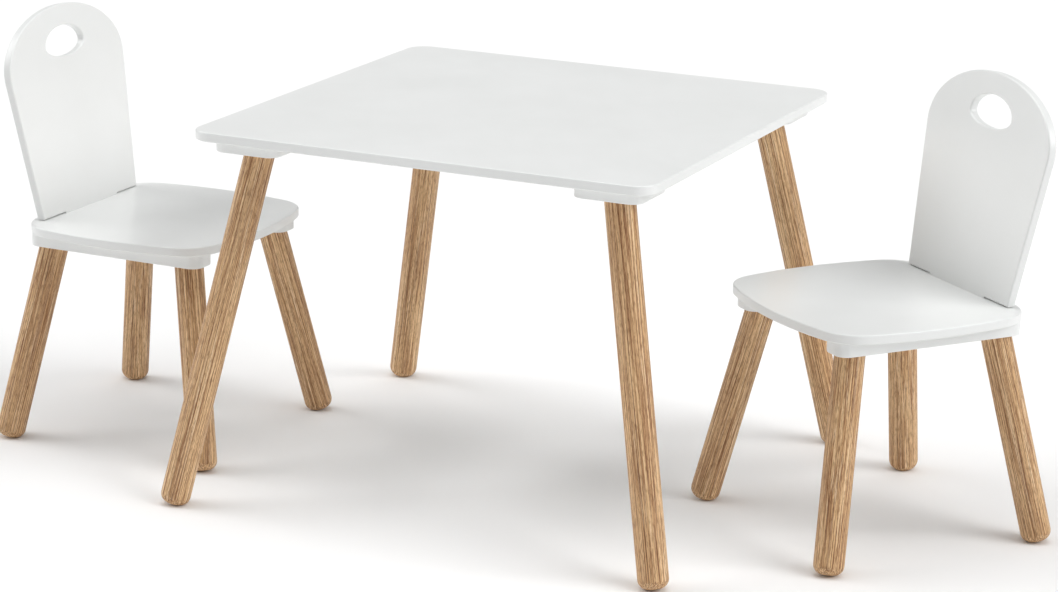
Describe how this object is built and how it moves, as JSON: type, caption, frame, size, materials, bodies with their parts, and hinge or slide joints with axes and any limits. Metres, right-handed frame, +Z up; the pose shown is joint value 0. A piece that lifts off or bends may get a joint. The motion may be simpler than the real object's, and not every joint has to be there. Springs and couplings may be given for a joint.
{
  "type": "kids table and chairs",
  "caption": "Square play table with splayed round wooden legs and two matching small chairs with arched, pierced backrests.",
  "frame": {"origin": "middle of the whole set's box, on the floor", "axes": "+Z up; +X along the table side nearest the viewer, from the left chair towards the right chair; +Y away from the viewer"},
  "size_m": [1.3514, 0.6477, 0.5479],
  "materials": {
    "white_lacquer": "satin white lacquer on board",
    "leg_wood": "satin clear lacquer over striped brown timber",
    "plated_steel": "zinc-plated fasteners"
  },
  "bodies": {
    "table": {"corner_block_back_left": "white_lacquer", "corner_block_back_right": "white_lacquer", "corner_block_front_left": "white_lacquer", "corner_block_front_right": "white_lacquer", "table_block_screws": "plated_steel", "table_insert_nuts": "plated_steel", "table_leg_back_left": "leg_wood", "table_leg_back_right": "leg_wood", "table_leg_bolts": "plated_steel", "table_leg_front_left": "leg_wood", "table_leg_front_right": "leg_wood", "table_top": "white_lacquer"},
    "chair_left": {"chair_left_backrest": "white_lacquer", "chair_left_backrest_screws": "plated_steel", "chair_left_cleat": "white_lacquer", "chair_left_insert_nuts": "plated_steel", "chair_left_leg_back_left": "leg_wood", "chair_left_leg_back_right": "leg_wood", "chair_left_leg_bolts": "plated_steel", "chair_left_leg_front_left": "leg_wood", "chair_left_leg_front_right": "leg_wood", "chair_left_rail_left": "white_lacquer", "chair_left_rail_right": "white_lacquer", "chair_left_seat": "white_lacquer", "chair_left_seat_screws": "plated_steel"},
    "chair_right": {"chair_right_backrest": "white_lacquer", "chair_right_backrest_screws": "plated_steel", "chair_right_cleat": "white_lacquer", "chair_right_insert_nuts": "plated_steel", "chair_right_leg_back_left": "leg_wood", "chair_right_leg_back_right": "leg_wood", "chair_right_leg_bolts": "plated_steel", "chair_right_leg_front_left": "leg_wood", "chair_right_leg_front_right": "leg_wood", "chair_right_rail_left": "white_lacquer", "chair_right_rail_right": "white_lacquer", "chair_right_seat": "white_lacquer", "chair_right_seat_screws": "plated_steel"}
  },
  "joints": [
    {"name": "chair_left_push_in", "type": "slide", "parent": "table", "child": "chair_left", "axis": [0.9999, -0.0157, 0], "range_m": [-0.25, 0.33]},
    {"name": "chair_right_push_in", "type": "slide", "parent": "table", "child": "chair_right", "axis": [-0.6266, -0.7793, 0], "range_m": [-0.25, 0.17]}
  ]
}
